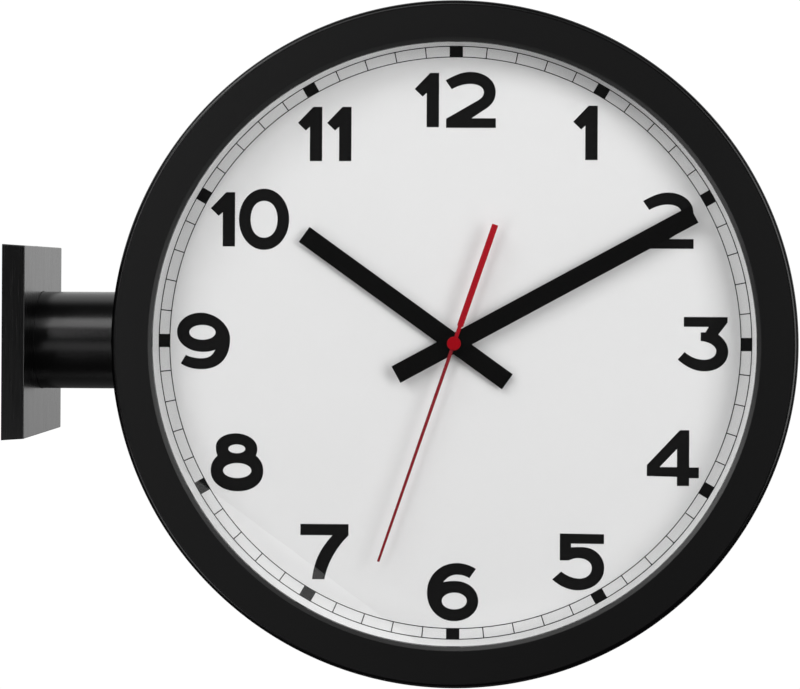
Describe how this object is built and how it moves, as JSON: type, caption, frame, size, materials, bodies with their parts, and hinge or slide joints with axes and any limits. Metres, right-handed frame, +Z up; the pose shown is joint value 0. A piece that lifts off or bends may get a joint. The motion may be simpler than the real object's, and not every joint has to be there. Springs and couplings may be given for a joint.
{
  "type": "double sided station clock",
  "caption": "Round two-faced clock on a short arm with a square wall cover; quartz movements turn the hands behind glass on each side.",
  "frame": {"origin": "middle of the bracket's rear face, which lies on the wall", "axes": "+X away from the wall along the arm, +Z up, front dial faces -Y, rear dial faces +Y"},
  "size_m": [0.461, 0.1136, 0.4],
  "materials": {
    "black_coat": "satin black powder coat on steel",
    "clear_glass": "clear flat glass",
    "seal_rubber": "soft black seal",
    "spacer_plastic": "matt white moulding",
    "dial_white": "matt white lacquer with black print",
    "movement_plastic": "moulded black plastic",
    "board_green": "solder mask green",
    "copper_winding": "enamelled copper wire",
    "motor_steel": "plain stamped steel",
    "battery_jacket": "printed metal jacket, bare of words",
    "nickel_spring": "nickel plated spring steel",
    "hand_red": "satin red lacquer",
    "hand_black": "matt black lacquer",
    "gear_plastic": "moulded natural plastic",
    "brass_arbor": "turned brass",
    "magnet": "sintered magnet",
    "black_screw": "black oxide steel",
    "zinc_screw": "zinc plated steel",
    "nickel_nut": "nickel plated nut",
    "bracket_steel": "zinc plated steel"
  },
  "bodies": {
    "root": {"front_bezel": "black_coat", "front_glass": "clear_glass", "front_glass_gasket": "seal_rubber", "front_dial_ring": "spacer_plastic", "front_dial": "dial_white", "front_movement_case": "movement_plastic", "front_movement_cover": "movement_plastic", "front_circuit_board": "board_green", "front_coil": "copper_winding", "front_stator": "motor_steel", "front_battery": "battery_jacket", "front_battery_contacts": "nickel_spring", "rear_bezel": "black_coat", "rear_glass": "clear_glass", "rear_glass_gasket": "seal_rubber", "rear_dial_ring": "spacer_plastic", "rear_dial": "dial_white", "rear_movement_case": "movement_plastic", "rear_movement_cover": "movement_plastic", "rear_circuit_board": "board_green", "rear_coil": "copper_winding", "rear_stator": "motor_steel", "rear_battery": "battery_jacket", "rear_battery_contacts": "nickel_spring", "case_band": "black_coat", "bezel_screws": "black_screw", "dial_screws": "zinc_screw", "movement_nuts": "nickel_nut", "wall_bracket": "bracket_steel", "wall_cover": "black_coat", "cover_screws": "black_screw", "arm_tube": "black_coat", "arm_set_screws": "black_screw", "arm_flange": "bracket_steel", "arm_saddle": "bracket_steel", "arm_bolts": "zinc_screw"},
    "front_seconds": {"front_second_hand": "hand_red", "front_seconds_wheel": "gear_plastic"},
    "front_rotor_body": {"front_rotor": "magnet"},
    "front_intermediate": {"front_intermediate_wheel": "gear_plastic"},
    "front_third": {"front_third_wheel": "gear_plastic"},
    "front_centre": {"front_centre_wheel": "brass_arbor"},
    "front_minutes": {"front_minute_hand": "hand_black", "front_minute_arbor": "brass_arbor"},
    "front_hours": {"front_hour_hand": "hand_black", "front_hour_wheel": "gear_plastic"},
    "front_motion_work": {"front_minute_wheel": "gear_plastic"},
    "front_setting": {"front_setting_knob": "gear_plastic"},
    "rear_seconds": {"rear_second_hand": "hand_red", "rear_seconds_wheel": "gear_plastic"},
    "rear_rotor_body": {"rear_rotor": "magnet"},
    "rear_intermediate": {"rear_intermediate_wheel": "gear_plastic"},
    "rear_third": {"rear_third_wheel": "gear_plastic"},
    "rear_centre": {"rear_centre_wheel": "brass_arbor"},
    "rear_minutes": {"rear_minute_hand": "hand_black", "rear_minute_arbor": "brass_arbor"},
    "rear_hours": {"rear_hour_hand": "hand_black", "rear_hour_wheel": "gear_plastic"},
    "rear_motion_work": {"rear_minute_wheel": "gear_plastic"},
    "rear_setting": {"rear_setting_knob": "gear_plastic"}
  },
  "joints": [
    {"name": "front_second_turn", "type": "hinge", "parent": "root", "child": "front_seconds", "pos_m": [0.261, 0, 0], "axis": [0, 1, 0], "continuous": true},
    {"name": "front_rotor_turn", "type": "hinge", "parent": "root", "child": "front_rotor_body", "pos_m": [0.25483, 0, 0.01323], "axis": [0, 1, 0], "continuous": true},
    {"name": "front_intermediate_turn", "type": "hinge", "parent": "root", "child": "front_intermediate", "pos_m": [0.2572, 0, 0.00816], "axis": [0, 1, 0], "continuous": true},
    {"name": "front_third_turn", "type": "hinge", "parent": "root", "child": "front_third", "pos_m": [0.25301, 0, -0.00291], "axis": [0, 1, 0], "continuous": true},
    {"name": "front_centre_turn", "type": "hinge", "parent": "root", "child": "front_centre", "pos_m": [0.261, 0, 0], "axis": [0, 1, 0], "continuous": true},
    {"name": "front_minute_turn", "type": "hinge", "parent": "root", "child": "front_minutes", "pos_m": [0.261, 0, 0], "axis": [0, 1, 0], "continuous": true},
    {"name": "front_hour_turn", "type": "hinge", "parent": "root", "child": "front_hours", "pos_m": [0.261, 0, 0], "axis": [0, 1, 0], "continuous": true},
    {"name": "front_motion_work_turn", "type": "hinge", "parent": "root", "child": "front_motion_work", "pos_m": [0.2689, 0, 0.00456], "axis": [0, 1, 0], "continuous": true},
    {"name": "front_setting_turn", "type": "hinge", "parent": "root", "child": "front_setting", "pos_m": [0.27346, 0, 0.01246], "axis": [0, 1, 0], "continuous": true},
    {"name": "rear_second_turn", "type": "hinge", "parent": "root", "child": "rear_seconds", "pos_m": [0.261, 0, 0], "axis": [0, -1, 0], "continuous": true},
    {"name": "rear_rotor_turn", "type": "hinge", "parent": "root", "child": "rear_rotor_body", "pos_m": [0.26717, 0, 0.01323], "axis": [0, -1, 0], "continuous": true},
    {"name": "rear_intermediate_turn", "type": "hinge", "parent": "root", "child": "rear_intermediate", "pos_m": [0.2648, 0, 0.00816], "axis": [0, -1, 0], "continuous": true},
    {"name": "rear_third_turn", "type": "hinge", "parent": "root", "child": "rear_third", "pos_m": [0.26899, 0, -0.00291], "axis": [0, -1, 0], "continuous": true},
    {"name": "rear_centre_turn", "type": "hinge", "parent": "root", "child": "rear_centre", "pos_m": [0.261, 0, 0], "axis": [0, -1, 0], "continuous": true},
    {"name": "rear_minute_turn", "type": "hinge", "parent": "root", "child": "rear_minutes", "pos_m": [0.261, 0, 0], "axis": [0, -1, 0], "continuous": true},
    {"name": "rear_hour_turn", "type": "hinge", "parent": "root", "child": "rear_hours", "pos_m": [0.261, 0, 0], "axis": [0, -1, 0], "continuous": true},
    {"name": "rear_motion_work_turn", "type": "hinge", "parent": "root", "child": "rear_motion_work", "pos_m": [0.2531, 0, 0.00456], "axis": [0, -1, 0], "continuous": true},
    {"name": "rear_setting_turn", "type": "hinge", "parent": "root", "child": "rear_setting", "pos_m": [0.24854, 0, 0.01246], "axis": [0, -1, 0], "continuous": true}
  ],
  "couplings": [
    {"joint": "front_rotor_turn", "follows": "front_second_turn", "ratio": 30},
    {"joint": "front_intermediate_turn", "follows": "front_second_turn", "ratio": -5},
    {"joint": "front_third_turn", "follows": "front_second_turn", "ratio": -0.13333},
    {"joint": "front_centre_turn", "follows": "front_second_turn", "ratio": 0.016667},
    {"joint": "front_hour_turn", "follows": "front_minute_turn", "ratio": 0.083333},
    {"joint": "front_motion_work_turn", "follows": "front_minute_turn", "ratio": -0.33333},
    {"joint": "front_setting_turn", "follows": "front_minute_turn", "ratio": 1},
    {"joint": "rear_rotor_turn", "follows": "rear_second_turn", "ratio": 30},
    {"joint": "rear_intermediate_turn", "follows": "rear_second_turn", "ratio": -5},
    {"joint": "rear_third_turn", "follows": "rear_second_turn", "ratio": -0.13333},
    {"joint": "rear_centre_turn", "follows": "rear_second_turn", "ratio": 0.016667},
    {"joint": "rear_hour_turn", "follows": "rear_minute_turn", "ratio": 0.083333},
    {"joint": "rear_motion_work_turn", "follows": "rear_minute_turn", "ratio": -0.33333},
    {"joint": "rear_setting_turn", "follows": "rear_minute_turn", "ratio": 1}
  ]
}
